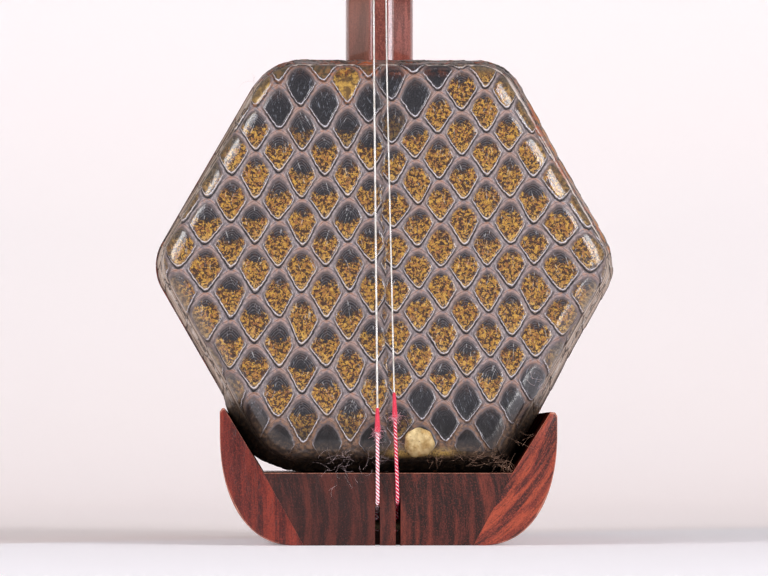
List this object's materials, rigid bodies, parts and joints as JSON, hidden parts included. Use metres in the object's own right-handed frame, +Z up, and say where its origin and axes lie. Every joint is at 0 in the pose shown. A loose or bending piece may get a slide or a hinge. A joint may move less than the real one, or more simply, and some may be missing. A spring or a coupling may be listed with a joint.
{
  "type": "erhu",
  "caption": "Hexagonal-bodied spike fiddle with a snakeskin face, round neck, curled head, long tuning pegs, wound strings with silk tails and a curved wooden base.",
  "frame": {"origin": "on the underside of the base, in line with the neck", "axes": "+Z up along the neck, the skin faces -Y and the sound window faces +Y"},
  "size_m": [0.1052, 0.1824, 0.8168],
  "materials": {
    "board_wood": "oiled",
    "neck_wood": "polished",
    "base_left_wood": "waxed",
    "base_centre_wood": "waxed",
    "base_right_wood": "waxed",
    "peg_wood": "polished",
    "window_wood": "oiled",
    "bone": "bone, satin",
    "snakeskin": "varnished scales",
    "string_steel": "wound wire",
    "red_silk": "twisted thread",
    "qianjin_thread": "waxed cotton thread",
    "brass": "hammered, aged"
  },
  "bodies": {
    "frame": {"resonator_board_top": "board_wood", "resonator_board_upper_left": "board_wood", "resonator_board_upper_right": "board_wood", "resonator_board_lower_left": "board_wood", "resonator_board_lower_right": "board_wood", "resonator_board_bottom": "board_wood", "neck": "neck_wood", "base_left_wing": "base_left_wood", "base_centre_block": "base_centre_wood", "base_right_wing": "base_right_wood", "snakeskin_head": "snakeskin", "sound_window": "window_wood", "head_tip_cap": "bone", "inner_string": "string_steel", "outer_string": "string_steel", "inner_string_silk_tail": "red_silk", "outer_string_silk_tail": "red_silk", "string_anchor_pin": "brass", "brass_tack": "brass"},
    "lower_peg": {"lower_peg": "peg_wood", "lower_peg_button": "bone", "outer_string_winding": "string_steel"},
    "upper_peg": {"upper_peg": "peg_wood", "upper_peg_button": "bone", "inner_string_winding": "string_steel"},
    "qianjin": {"qianjin_loop": "qianjin_thread"}
  },
  "joints": [
    {"name": "lower_peg_turn", "type": "hinge", "parent": "frame", "child": "lower_peg", "pos_m": [0, 0, 0.665], "axis": [0, 1, 0], "continuous": true},
    {"name": "upper_peg_turn", "type": "hinge", "parent": "frame", "child": "upper_peg", "pos_m": [0, 0, 0.735], "axis": [0, 1, 0], "continuous": true},
    {"name": "qianjin_slide", "type": "slide", "parent": "frame", "child": "qianjin", "axis": [0, 0, 1], "range_m": [-0.006, 0.006]}
  ]
}
